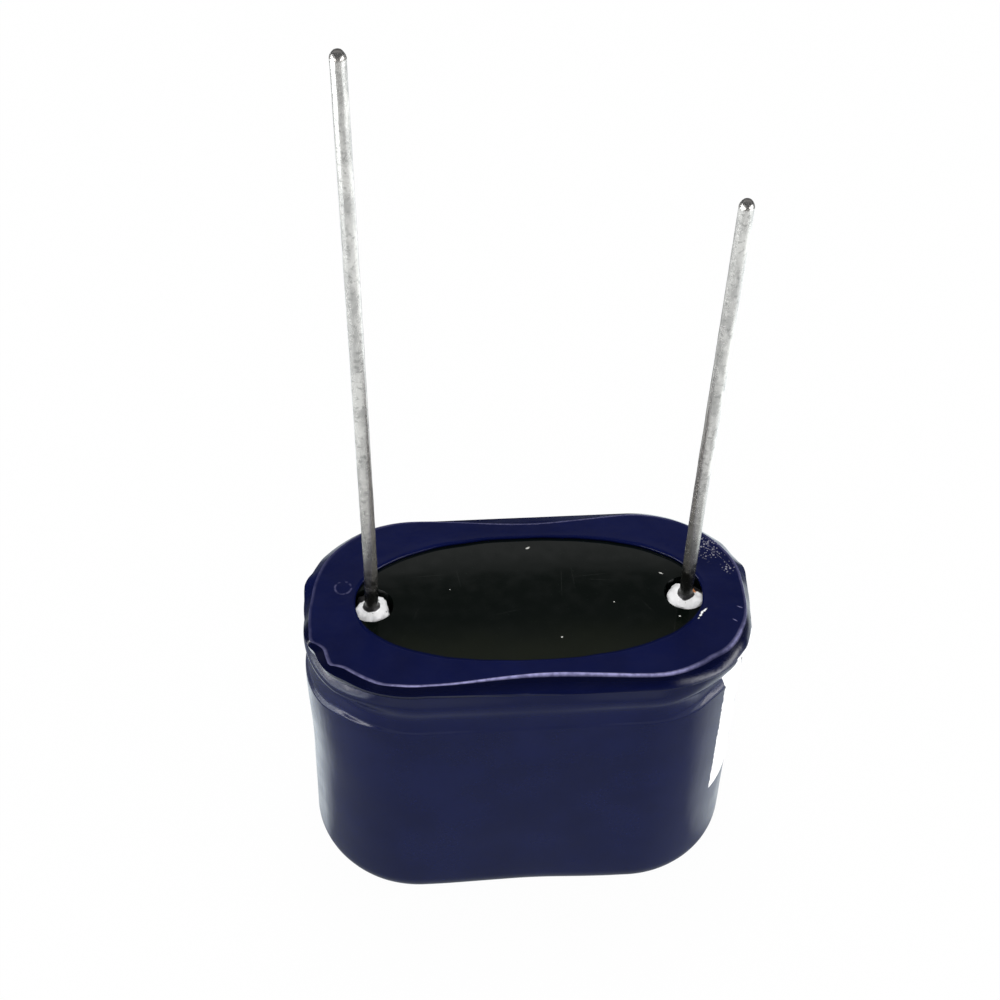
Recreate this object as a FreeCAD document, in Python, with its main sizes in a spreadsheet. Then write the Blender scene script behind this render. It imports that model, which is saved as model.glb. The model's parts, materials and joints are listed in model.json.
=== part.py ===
import FreeCAD, Part
import math
import os
import re

import Sketcher

# A two-cell supercapacitor module: two round cells side by side in one heat-shrunk sleeve, with a black
# plate over the cells' mouths and two leads of unequal length. It stands on its base with the leads up.
# Millimetres, +Z up, origin under the middle of the base. The positive lead is towards -X.

# Driving dimensions
SIZES = {
    # the sealed cells
    "can_diameter": 8.0,
    "can_height": 12.3,
    "can_wall": 0.28,
    "can_edge_radius": 1.05,
    "cell_gap": 0.1,
    "bead_drop": 1.27,
    "bead_width": 1.28,
    "bead_floor": 0.3,
    "bead_depth": 0.42,
    "curl_drop": 0.15,
    "curl_lip": 0.8,
    "curl_thickness": 0.35,
    "curl_radius": 0.3,
    "vent_length": 4.4,
    "vent_width": 0.18,
    "vent_depth": 0.08,
    # the rubber bungs
    "bung_length": 2.6,
    "bung_recess": 0.3,
    "fit_clearance": 0.01,
    # stubs and wires
    "lead_pitch": 3.5,
    "stub_diameter": 1.25,
    "weld_height": 0.22,
    "weld_land": 0.03,
    "wire_diameter": 0.5,
    "stub_recess": 0.3,
    "positive_lead_length": 24.05,
    "positive_lead_rise": 2.5,
    "positive_lead_lean_angle": 1.35,
    "positive_lead_heading_angle": 171.5,
    "negative_lead_length": 18.35,
    "negative_lead_rise": 4.2,
    "negative_lead_lean_angle": 0.8,
    "negative_lead_heading_angle": 10.7,
    # the link between the cells
    "link_bend": 0.3,
    "link_rise": 0.25,
    "link_overlap": 2.0,
    "link_gap": 0.01,
    "link_clearance": 0.02,
    "link_headroom": 0.04,
    "link_slot_width": 1.5,
    "link_slot_room": 0.2,
    # the top plate
    "plate_thickness": 0.8,
    "flange_thickness": 0.4,
    "plate_side_overhang": 0.08,
    "plate_end_overhang": 0.02,
    "plate_end_flat": 2.3,
    "plate_waist": 0.42,
    "plate_chamfer": 0.2,
    "plate_land_inset": 0.5,
    "plate_hole_diameter": 1.6,
    # the shrink sleeve
    "film_thickness": 0.12,
    "film_clearance": 0.02,
    "bead_pull": 0.25,
    "crest_pull": 0.1,
    "neck_pull": 0.28,
    "side_share": 0.3,
    "lip_underside": 0.1,
    "lip_underside_height": 0.16,
    "rim_opening_length": 12.8,
    "rim_opening_width": 5.94,
    "base_fold": 0.35,
}

# Heights and radii worked out from the driving dimensions; cell parts count Z from the can's closed end
CAN_R = "(can_diameter / 2)"
CURL_R = f"({CAN_R} - curl_drop)"
MOUTH_R = f"({CURL_R} - curl_lip)"
BEAD_Z = "(can_height - bead_drop)"
BEAD_R = f"({CAN_R} - bead_depth)"
BEAD_REACH = "(bead_width / 2)"
SHOULDER_Z = "(can_height - curl_thickness)"
BUNG_FLOOR = f"({SHOULDER_Z} - bung_length)"
CELL_X = "((can_diameter + cell_gap) / 2)"
LINK_X = f"({CELL_X} - lead_pitch / 2)"
LEAD_X = f"({CELL_X} + lead_pitch / 2)"
STUB_R = "(stub_diameter / 2)"
WIRE_R = "(wire_diameter / 2)"
LINK_Z = f"(can_height + link_clearance + {WIRE_R})"
LINK_STUB_TOP = f"({LINK_Z} - link_bend - link_rise)"
LEAD_STUB_TOP = "(can_height + plate_thickness - stub_recess)"
PLATE_BOTTOM = "(film_thickness + can_height)"
PLATE_TOP = f"({PLATE_BOTTOM} + plate_thickness)"
FLANGE_BOTTOM = f"({PLATE_TOP} - flange_thickness)"
FLANGE_R = f"({CAN_R} + plate_side_overhang)"
FLANGE_END = f"({CELL_X} + {CAN_R} + plate_end_overhang)"
FLANGE_X = f"({FLANGE_END} - sqrt({FLANGE_R} ^ 2 - (plate_end_flat / 2) ^ 2))"
SLEEVE_IN_R = f"({CAN_R} + film_clearance)"
SLEEVE_R = f"({SLEEVE_IN_R} + film_thickness)"
SLEEVE_TOP = f"({PLATE_TOP} + film_thickness)"
LIP_GROWTH = "(film_clearance + film_thickness)"
LIP_BOTTOM = f"({FLANGE_BOTTOM} - {LIP_GROWTH})"
RIM_BEVEL = "(plate_chamfer + film_thickness * (2 - sqrt(2)))"
BEAD_LEVEL = f"(film_thickness + {BEAD_Z})"
BEAD_START = f"({BEAD_LEVEL} - {BEAD_REACH})"
CREST_LEVEL = f"({PLATE_BOTTOM} - curl_radius)"
FOOT_IN_R = "(can_edge_radius + film_clearance)"
FOOT_R = f"({FOOT_IN_R} + film_thickness)"

# Steps in which a round edge is turned, in degrees
FOOT_TURNS = (0, 30, 60, 90)
CURL_TURNS = (90, 45, 0)

# Share of a pull that the film has reached half-way to it
HALFWAY = 0.6

# Points of a sketch element, and the sketch's own origin and axes
START, END, CENTRE = range(1, 4)
X_AXIS, Y_AXIS = range(-1, -3, -1)
ORIGIN = (X_AXIS, START)
UP = FreeCAD.Vector(0, 0, 1)

doc = FreeCAD.newDocument("supercapacitor")
sheet = doc.addObject("Spreadsheet::Sheet", "Sizes")
for row, (alias, size) in enumerate(SIZES.items(), start=1):
    sheet.set(f"A{row}", alias)
    sheet.set(f"B{row}", str(size))
    sheet.setAlias(f"B{row}", alias)
doc.recompute()

nodes = []


def formula(text):
    """Turns plain names of sizes into references to the sheet's cells."""
    return re.sub(r"[a-z_]+", lambda word: f"Sizes.{word[0]}" if word[0] in SIZES else word[0], text)


def number(text):
    """Gives the present value of a formula."""
    return float(sheet.evalExpression(formula(text)))


def bind(item, name, text):
    """Ties a property to a formula."""
    item.setExpression(name, formula(text))


def new_body(label, x="0", z="0"):
    """Adds a named piece, placed by formulas."""
    body = doc.addObject("PartDesign::Body", label)
    body.Label = label
    bind(body, "Placement.Base.x", x)
    bind(body, "Placement.Base.z", z)
    nodes.append(body)
    return body


def new_sketch(body, name, role="XY_Plane", height="0"):
    """Adds a sketch on one of the body's own planes, or at a height above it."""
    sketch = body.newObject("Sketcher::SketchObject", name)
    plane = next(item for item in body.Origin.OriginFeatures if item.Role == role)
    sketch.AttachmentSupport = [(plane, "")]
    sketch.MapMode = "FlatFace"
    bind(sketch, "AttachmentOffset.Base.z", height)
    return sketch


def rule(sketch, kind, *elements):
    """Adds a constraint without a size."""
    sketch.addConstraint(Sketcher.Constraint(kind, *elements))


def dimension(sketch, kind, *elements, size):
    """Adds a constraint whose size is a formula."""
    index = sketch.addConstraint(Sketcher.Constraint(kind, *elements, number(size)))
    bind(sketch, f"Constraints[{index}]", size)


def arc(x, y, radius, first, last):
    """Makes an arc about a point, between two angles in degrees."""
    circle = Part.Circle(FreeCAD.Vector(x, y, 0), UP, radius)
    return Part.ArcOfCircle(circle, math.radians(first), math.radians(last))


def line(x0, y0, x1, y1):
    """Makes a straight segment between two points."""
    return Part.LineSegment(FreeCAD.Vector(x0, y0, 0), FreeCAD.Vector(x1, y1, 0))


def pin_point(sketch, element, point, x, y):
    """Holds a point of a sketch at two formulas, on an axis where a formula gives zero."""
    if number(x) == 0:
        rule(sketch, "PointOnObject", element, point, Y_AXIS)
    else:
        dimension(sketch, "DistanceX", *ORIGIN, element, point, size=x)
    if number(y) == 0:
        rule(sketch, "PointOnObject", element, point, X_AXIS)
    else:
        dimension(sketch, "DistanceY", *ORIGIN, element, point, size=y)


def polyline(sketch, corners, closed=True):
    """Draws straight sides through corners given as formulas, back to the first one or not."""
    places = [(number(x), number(y)) for x, y in corners]
    count = len(corners)
    sides = count if closed else count - 1
    for index in range(sides):
        sketch.addGeometry(line(*places[index], *places[(index + 1) % count]))
    for index in range(sides if closed else sides - 1):
        rule(sketch, "Coincident", index, END, (index + 1) % sides, START)
    for index, (x, y) in enumerate(corners[:sides]):
        pin_point(sketch, index, START, x, y)
    if not closed:
        pin_point(sketch, sides - 1, END, *corners[-1])


def round_edge(radius, corner, turns):
    """Lists points round an edge: the radius there and the distance from the flat, as formulas."""
    return [
        (f"({radius} - {corner} * (1 - sin({turn})))", f"({corner} * (1 - cos({turn})))")
        for turn in turns
    ]


def disc(sketch, radius, x="0", y="0"):
    """Draws a circle about a point given as formulas."""
    index = sketch.addGeometry(Part.Circle(FreeCAD.Vector(number(x), number(y), 0), UP, number(radius)))
    pin_point(sketch, index, CENTRE, x, y)
    dimension(sketch, "Radius", index, size=radius)


def rectangle(sketch, length, width):
    """Draws a rectangle about the origin."""
    right, back = f"({length} / 2)", f"({width} / 2)"
    left, front = f"-{right}", f"-{back}"
    polyline(sketch, [(left, front), (right, front), (right, back), (left, back)])


def stadium(sketch, half_spacing, radius):
    """Draws the outline of two equal round ends joined by straight sides."""
    c, r = number(half_spacing), number(radius)
    sketch.addGeometry([arc(-c, 0, r, 90, 270), line(-c, -r, c, -r)])
    sketch.addGeometry([arc(c, 0, r, -90, 90), line(c, r, -c, r)])
    for index in range(4):
        rule(sketch, "Tangent", index, END, (index + 1) % 4, START)
    rule(sketch, "Equal", 0, 2)
    rule(sketch, "PointOnObject", 0, CENTRE, X_AXIS)
    rule(sketch, "Symmetric", 0, CENTRE, 2, CENTRE, *ORIGIN)
    dimension(sketch, "Radius", 0, size=radius)
    dimension(sketch, "DistanceX", 0, CENTRE, 2, CENTRE, size=f"2 * {half_spacing}")


def flat_ended(sketch, half_spacing, radius, end, waist=None):
    """Draws a stadium whose two ends are cut flat, with straight sides or sides drawn in by a waist."""
    c, r, e = number(half_spacing), number(radius), number(end)
    half_flat = math.sqrt(r ** 2 - (e - c) ** 2)
    turn = math.degrees(math.asin(half_flat / r))
    sides = [line(c, r, -c, r), line(-c, -r, c, -r)]
    joint = "Tangent"
    if waist:
        w = number(waist)
        sweep = (c ** 2 + w ** 2) / (2 * w)
        spread = math.degrees(math.asin(c / sweep))
        sides = [
            arc(0, r - w + sweep, sweep, 270 - spread, 270 + spread),
            arc(0, -r + w - sweep, sweep, 90 - spread, 90 + spread),
        ]
        joint = "Coincident"
    sketch.addGeometry([line(e, -half_flat, e, half_flat), arc(c, 0, r, turn, 90), sides[0]])
    sketch.addGeometry([arc(-c, 0, r, 90, 180 - turn), line(-e, half_flat, -e, -half_flat)])
    sketch.addGeometry([arc(-c, 0, r, 180 + turn, 270), sides[1], arc(c, 0, r, 270, 360 - turn)])
    near, far = (END, START) if waist else (START, END)
    for first, first_point, second, second_point in ((1, END, 2, near), (2, far, 3, START),
                                                     (5, END, 6, near), (6, far, 7, START)):
        rule(sketch, joint, first, first_point, second, second_point)
    for first, second in ((0, 1), (3, 4), (4, 5), (7, 0)):
        rule(sketch, "Coincident", first, END, second, START)
    rule(sketch, "Coincident", 1, CENTRE, 7, CENTRE)
    rule(sketch, "Coincident", 3, CENTRE, 5, CENTRE)
    rule(sketch, "PointOnObject", 1, CENTRE, X_AXIS)
    rule(sketch, "Symmetric", 1, CENTRE, 3, CENTRE, *ORIGIN)
    for corner in (3, 5, 7):
        rule(sketch, "Equal", 1, corner)
    dimension(sketch, "Radius", 1, size=radius)
    dimension(sketch, "DistanceX", 3, CENTRE, 1, CENTRE, size=f"2 * {half_spacing}")
    rule(sketch, "Vertical", 0)
    rule(sketch, "Vertical", 4)
    dimension(sketch, "DistanceX", *ORIGIN, 0, START, size=end)
    dimension(sketch, "DistanceX", 4, START, *ORIGIN, size=end)
    if waist:
        for corner, point in ((1, END), (3, START), (5, END), (7, START)):
            rule(sketch, "Vertical", corner, CENTRE, corner, point)
        for side in (2, 6):
            dimension(sketch, "Radius", side, size=f"({half_spacing} ^ 2 + {waist} ^ 2) / (2 * {waist})")


def pad(body, sketch, length):
    """Raises a sketch into a solid."""
    feature = body.newObject("PartDesign::Pad", f"{sketch.Name}_pad")
    feature.Profile = sketch
    bind(feature, "Length", length)


def pocket(body, sketch, length, upward=False):
    """Cuts a sketch into the solid, downward unless told otherwise."""
    feature = body.newObject("PartDesign::Pocket", f"{sketch.Name}_pocket")
    feature.Profile = sketch
    feature.Reversed = upward
    bind(feature, "Length", length)


def turned(body, sketch, kind="Revolution"):
    """Turns a profile about the body's Z axis, to add material or, as a groove, to cut it."""
    feature = body.newObject(f"PartDesign::{kind}", f"{sketch.Name}_turned")
    feature.Profile = sketch
    feature.ReferenceAxis = (sketch, ["V_Axis"])
    feature.Angle = 360


def loft(body, sketches, kind="AdditiveLoft"):
    """Runs straight skins through a stack of sections."""
    feature = body.newObject(f"PartDesign::{kind}", f"{sketches[0].Name}_loft")
    feature.Profile = sketches[0]
    feature.Sections = sketches[1:]
    feature.Ruled = True


def mouth_section(sketch, slack, top):
    """Draws half the section of a can's mouth, smaller by a slack for the bung that fills it."""
    bore_r, mouth_r = f"({BEAD_R} - can_wall - {slack})", f"({MOUTH_R} - {slack})"
    floor, shoulder = f"({BUNG_FLOOR} + {slack})", f"({SHOULDER_Z} - {slack})"
    polyline(sketch, [
        ("0", floor), (bore_r, floor), (bore_r, shoulder), (mouth_r, shoulder), (mouth_r, top), ("0", top),
    ])


def make_can(label, x):
    """Makes a sealed can with its contents: closed end with a scored vent, rolled bead and curled mouth."""
    body = new_body(label, x=x, z="film_thickness")
    outline = new_sketch(body, f"{label}_outline", "XZ_Plane")
    foot = round_edge(CAN_R, "can_edge_radius", FOOT_TURNS)
    curl = [
        (radius, f"(can_height - {drop})")
        for radius, drop in round_edge(CURL_R, "curl_radius", CURL_TURNS)
    ]
    bead = [
        (CAN_R, f"({BEAD_Z} - {BEAD_REACH})"), (BEAD_R, f"({BEAD_Z} - bead_floor / 2)"),
        (BEAD_R, f"({BEAD_Z} + bead_floor / 2)"), (CURL_R, f"({BEAD_Z} + {BEAD_REACH})"),
    ]
    polyline(outline, [("0", "0"), *foot, *bead, *curl, ("0", "can_height")])
    turned(body, outline)
    mouth = new_sketch(body, f"{label}_mouth", "XZ_Plane")
    mouth_section(mouth, "0", "can_height")
    turned(body, mouth, "Groove")
    for name, *sides in (("across", "vent_length", "vent_width"), ("along", "vent_width", "vent_length")):
        score = new_sketch(body, f"{label}_vent_{name}")
        rectangle(score, *sides)
        pocket(body, score, "vent_depth", upward=True)


def make_bung(label, x):
    """Makes the rubber bung that fills a can's mouth, stepped under the curl and bored for two stubs."""
    body = new_body(label, x=x, z="film_thickness")
    section = new_sketch(body, f"{label}_section", "XZ_Plane")
    mouth_section(section, "fit_clearance", "(can_height - bung_recess)")
    turned(body, section)
    bores = new_sketch(body, f"{label}_bores", height="can_height")
    for side in ("-", ""):
        disc(bores, f"({STUB_R} + fit_clearance)", f"{side}lead_pitch / 2")
    pocket(body, bores, "can_height")


def make_stub(label, x, top):
    """Makes an aluminium stub, domed at its upper end where a wire is welded on."""
    body = new_body(label, x=x, z="film_thickness")
    section = new_sketch(body, f"{label}_section", "XZ_Plane")
    floor = f"({BUNG_FLOOR} + fit_clearance)"
    polyline(section, [
        ("0", floor), (STUB_R, floor), (STUB_R, f"({top} - weld_height)"), (f"({WIRE_R} + weld_land)", top),
        ("0", top),
    ])
    turned(body, section)


def make_wire(label, x, foot, heading, corners):
    """Makes a wire that stands on its stub and follows corners in the upright plane of its heading."""
    body = new_body(label, x=x, z=f"(film_thickness + {foot})")
    body.Placement.Rotation = FreeCAD.Rotation(UP, number(heading))
    bind(body, "Placement.Rotation.Angle", f"({heading}) * 1 deg")
    path = new_sketch(body, f"{label}_path", "XZ_Plane")
    polyline(path, corners, closed=False)
    section = new_sketch(body, f"{label}_section")
    disc(section, WIRE_R)
    wire = body.newObject("PartDesign::AdditivePipe", f"{label}_pipe")
    wire.Profile = section
    wire.Spine = (path, [f"Edge{index}" for index in range(1, len(corners))])
    wire.Transition = "Right corner"


def make_lead(label, x, sign):
    """Makes an outer lead, which leans a little above its rise and has its own length above the plate."""
    rise, lean = f"{sign}_lead_rise", f"{sign}_lead_lean_angle"
    tip = f"(stub_recess + {sign}_lead_length)"
    corners = [("0", "0"), ("0", rise), (f"(({tip} - {rise}) * tan({lean}))", tip)]
    make_wire(label, x, LEAD_STUB_TOP, f"{sign}_lead_heading_angle", corners)


def make_link_wire(label, x, turn):
    """Makes a cropped inner wire, bent flat to lie beside the other cell's."""
    yaw = f"({turn} + asin((wire_diameter + link_gap) / (2 * {LINK_X})) / 1 deg)"
    level = "(link_rise + link_bend)"
    end = f"({LINK_X} + link_overlap / 2)"
    corners = [("0", "0"), ("0", "link_rise"), ("link_bend", level), (end, level)]
    make_wire(label, x, LINK_STUB_TOP, yaw, corners)


def flange_sections(body, name, levels):
    """Draws outlines of the plate's flange at several heights, each grown by a formula, waisted or not."""
    sections = []
    for level, height, growth, waist in levels:
        sketch = new_sketch(body, f"{name}_{level}", height=height)
        flat_ended(sketch, FLANGE_X, f"({FLANGE_R} + {growth})", f"({FLANGE_END} + {growth})", waist)
        sections.append(sketch)
    return sections


def make_plate():
    """Makes the top plate: a flat-ended flange on a lower land, with lead holes and a slot for the link."""
    body = new_body("top_plate")
    land = new_sketch(body, "plate_land", height=PLATE_BOTTOM)
    stadium(land, CELL_X, f"({CAN_R} - plate_land_inset)")
    pad(body, land, "(plate_thickness - flange_thickness)")
    flange_levels = (
        ("underside", FLANGE_BOTTOM, "0", "plate_waist"),
        ("side", f"({PLATE_TOP} - plate_chamfer)", "0", "plate_waist"),
        ("top", PLATE_TOP, "-plate_chamfer", "plate_waist"),
    )
    loft(body, flange_sections(body, "flange", flange_levels))
    holes = new_sketch(body, "plate_holes", height=PLATE_TOP)
    for side in ("-", ""):
        disc(holes, "plate_hole_diameter / 2", f"{side}{LEAD_X}")
    pocket(body, holes, "plate_thickness")
    slot = new_sketch(body, "plate_link_slot", height=PLATE_BOTTOM)
    rectangle(slot, f"(2 * {LINK_X} + wire_diameter + 2 * link_slot_room)", "link_slot_width")
    pocket(body, slot, "(link_clearance + wire_diameter + link_headroom)", upward=True)


def sleeve_sections(body, name, radius, foot, floor, top):
    """Draws the sleeve's sections from a floor to the neck: round foot, straight wall, bead and crest."""
    levels = [
        (f"({floor} + {rise})", CELL_X, foot_r)
        for foot_r, rise in round_edge(radius, foot, FOOT_TURNS)
    ]
    pulls = [
        (BEAD_START, "0"),
        (f"(({BEAD_START} + {BEAD_LEVEL}) / 2)", f"(bead_pull * {HALFWAY})"),
        (BEAD_LEVEL, "bead_pull"),
        (f"({BEAD_LEVEL} + {BEAD_REACH} / 2)", f"(crest_pull + (bead_pull - crest_pull) * {HALFWAY})"),
        (f"({BEAD_LEVEL} + {BEAD_REACH})", "crest_pull"),
        (CREST_LEVEL, "crest_pull"),
        (top, "neck_pull"),
    ]
    for height, pull in pulls:
        half_spacing = f"({CELL_X} - (1 - side_share) * {pull})"
        levels.append((height, half_spacing, f"({radius} - side_share * {pull})"))
    sections = []
    for index, (height, half_spacing, section_r) in enumerate(levels):
        sketch = new_sketch(body, f"{name}_{index}", height=height)
        stadium(sketch, half_spacing, section_r)
        sections.append(sketch)
    return sections


def make_sleeve():
    """Makes the sleeve: one skin of film over cells and plate, folded over the rim and under the base."""
    body = new_body("shrink_sleeve")
    loft(body, sleeve_sections(body, "outside", SLEEVE_R, FOOT_R, "0", LIP_BOTTOM))
    lip_levels = (
        ("underside", LIP_BOTTOM, f"({LIP_GROWTH} - lip_underside)", None),
        ("edge", f"({LIP_BOTTOM} + lip_underside_height)", LIP_GROWTH, None),
        ("side", f"({SLEEVE_TOP} - {RIM_BEVEL})", LIP_GROWTH, None),
        ("crease", SLEEVE_TOP, f"({LIP_GROWTH} - {RIM_BEVEL})", "plate_waist"),
    )
    loft(body, flange_sections(body, "lip", lip_levels))
    inside = sleeve_sections(body, "inside", SLEEVE_IN_R, FOOT_IN_R, "film_thickness", FLANGE_BOTTOM)
    loft(body, inside, "SubtractiveLoft")
    seat_levels = (
        ("underside", f"({FLANGE_BOTTOM} - film_clearance)", "film_clearance", None),
        ("side", f"({PLATE_TOP} - plate_chamfer)", "film_clearance", None),
        ("top", PLATE_TOP, "(film_clearance - plate_chamfer)", "plate_waist"),
    )
    loft(body, flange_sections(body, "seat", seat_levels), "SubtractiveLoft")
    opening = new_sketch(body, "rim_opening", height=SLEEVE_TOP)
    half_length, half_width = number("rim_opening_length / 2"), number("rim_opening_width / 2")
    long_end, side_end = FreeCAD.Vector(half_length, 0, 0), FreeCAD.Vector(0, half_width, 0)
    oval = opening.addGeometry(Part.Ellipse(long_end, side_end, FreeCAD.Vector(0, 0, 0)))
    opening.exposeInternalGeometry(oval)
    long_axis, short_axis = oval + 1, oval + 2
    rule(opening, "Coincident", oval, CENTRE, *ORIGIN)
    rule(opening, "Horizontal", long_axis)
    dimension(opening, "Distance", long_axis, size="rim_opening_length")
    dimension(opening, "Distance", short_axis, size="rim_opening_width")
    pocket(body, opening, "film_thickness")
    base = new_sketch(body, "base_opening", height="film_thickness")
    stadium(base, CELL_X, f"({SLEEVE_R} - {FOOT_R} - base_fold)")
    pocket(body, base, "film_thickness")


for cell, sign in (("positive", "-"), ("negative", "")):
    make_can(f"{cell}_cell_can", f"{sign}{CELL_X}")
    make_bung(f"{cell}_cell_bung", f"{sign}{CELL_X}")
    make_stub(f"{cell}_lead_stub", f"{sign}{LEAD_X}", LEAD_STUB_TOP)
    make_stub(f"{cell}_link_stub", f"{sign}{LINK_X}", LINK_STUB_TOP)
    make_lead(f"{cell}_lead", f"{sign}{LEAD_X}", cell)
make_link_wire("positive_link_wire", f"-{LINK_X}", "0")
make_link_wire("negative_link_wire", LINK_X, "180")
make_plate()
make_sleeve()
doc.recompute()

# Every piece is checked before any is written
for item in doc.Objects:
    if "Invalid" in item.State or "Error" in item.State:
        raise RuntimeError(f"{item.Label} failed: {item.State}")
for body in nodes:
    if body.Shape.isNull() or not body.Shape.isValid() or len(body.Shape.Solids) != 1:
        raise RuntimeError(f"{body.Label} is not one valid solid")

os.makedirs("parts", exist_ok=True)
for body in nodes:
    body.Shape.exportStep(f"parts/{body.Label}.step")
    print(f"{body.Label}: {body.Shape.Volume:.3f} mm3")
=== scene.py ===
"""Dresses a two-cell supercapacitor module: shrunk film, plate, welded stubs, tinned leads and a plain studio.

Lengths are in millimetres unless they are said to be metres. The positive lead is towards -X and the front is -Y.
"""

import json
import logging
import math
from collections.abc import Callable, Iterable, Iterator
from dataclasses import dataclass
from enum import Enum
from functools import partial, reduce
from typing import Any

import bmesh
import bpy
from mathutils import Matrix, Vector, noise

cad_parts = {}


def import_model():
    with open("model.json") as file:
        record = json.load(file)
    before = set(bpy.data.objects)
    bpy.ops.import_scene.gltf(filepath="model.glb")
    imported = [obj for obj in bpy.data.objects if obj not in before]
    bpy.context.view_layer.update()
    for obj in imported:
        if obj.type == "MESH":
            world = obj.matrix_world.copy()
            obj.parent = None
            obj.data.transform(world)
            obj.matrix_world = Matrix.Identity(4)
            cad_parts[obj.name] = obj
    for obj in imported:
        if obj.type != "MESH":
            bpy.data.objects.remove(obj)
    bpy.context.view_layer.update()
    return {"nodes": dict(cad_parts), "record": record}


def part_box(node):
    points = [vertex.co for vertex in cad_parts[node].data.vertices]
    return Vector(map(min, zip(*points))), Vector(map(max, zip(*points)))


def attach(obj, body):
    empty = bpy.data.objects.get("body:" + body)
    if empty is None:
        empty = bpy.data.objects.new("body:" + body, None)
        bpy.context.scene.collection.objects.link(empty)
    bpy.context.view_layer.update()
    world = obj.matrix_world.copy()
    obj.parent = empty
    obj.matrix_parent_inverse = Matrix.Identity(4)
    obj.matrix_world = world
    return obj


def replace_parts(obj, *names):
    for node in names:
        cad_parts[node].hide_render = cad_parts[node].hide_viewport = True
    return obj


MM = 0.001
CELL_AXIS = 4.05
RIM_LEVEL = 13.34
UP = Vector((0.0, 0.0, 1.0))
WHITE = (1.0, 1.0, 1.0, 1.0)
RING_LAYER = "turn"
LOG = logging.getLogger("module")
Socket = bpy.types.NodeSocket
Object = bpy.types.Object
Material = bpy.types.Material
Span = tuple[float, float]
Band = tuple[Span, Span]
Triple = tuple[float, float, float]
Colour = tuple[float, float, float, float]
Shape = tuple[float, float, float, float]
Oval = tuple[float, float, float, float, float]
Table = tuple[Span, ...]
Place = Callable[[int], Vector]


class Polarity(Enum):
    """Which end of the module a piece belongs to."""

    POSITIVE = "positive"
    NEGATIVE = "negative"


def smooth(value: float, start: float, end: float) -> float:
    """Eases a value from 0 at start to 1 at end."""
    share = min(1.0, max(0.0, (value - start) / (end - start)))
    return share * share * (3.0 - 2.0 * share)


def hump(value: float, centre: float, reach: float) -> float:
    """Gives a soft hump of height 1 at its centre, which has died away at its reach."""
    return 1.0 - smooth(abs(value - centre), 0.0, reach)


def within(value: float, rise: Span, fall: Span) -> float:
    """Gives 1 between a rise and a fall, and 0 outside them."""
    return smooth(value, *rise) * (1.0 - smooth(value, *fall))


def up_from(low: float, share: float) -> float:
    """Goes from a low value up to 1, by a share of the way."""
    return low + (1.0 - low) * share


def waver(point: Vector, scale: float) -> float:
    """Gives an even random wander from -1 to 1, with waves about 1 / scale long."""
    return noise.noise(point * scale)


def spoke(angle: float) -> Vector:
    """Gives a level direction."""
    return Vector((math.cos(angle), math.sin(angle), 0.0))


def trace(table: Table, value: float) -> float:
    """Reads a smooth curve through a table's points, which it never overshoots.

    Args:
        table: pairs of a place and the curve's value there, in rising order.
        value: the place to read.

    Returns:
        The curve's value.
    """
    last = len(table) - 1
    held = min(max(value, table[0][0]), table[last][0])
    index = next(step for step in range(last) if held <= table[step + 1][0])
    (start, first), (end, second) = table[index], table[index + 1]

    def grade(step: int) -> float:
        """Gives the slope of one stretch, the end stretches standing in beyond the ends."""
        (left, low), (right, high) = table[min(max(step, 0), last - 1):][:2]
        return (high - low) / (right - left)

    def lean(step: int) -> float:
        """Gives the curve's slope at a point: level at a peak, and between its neighbours' slopes elsewhere."""
        before, after = grade(step - 1), grade(step)
        return 2.0 * before * after / (before + after) if before * after > 0.0 else 0.0

    share = (held - start) / (end - start)
    rest = 1.0 - share
    bend = (end - start) * share * rest * (lean(index) * rest - lean(index + 1) * share)
    return first * rest * rest * (1.0 + 2.0 * share) + second * share * share * (3.0 - 2.0 * share) + bend


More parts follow.
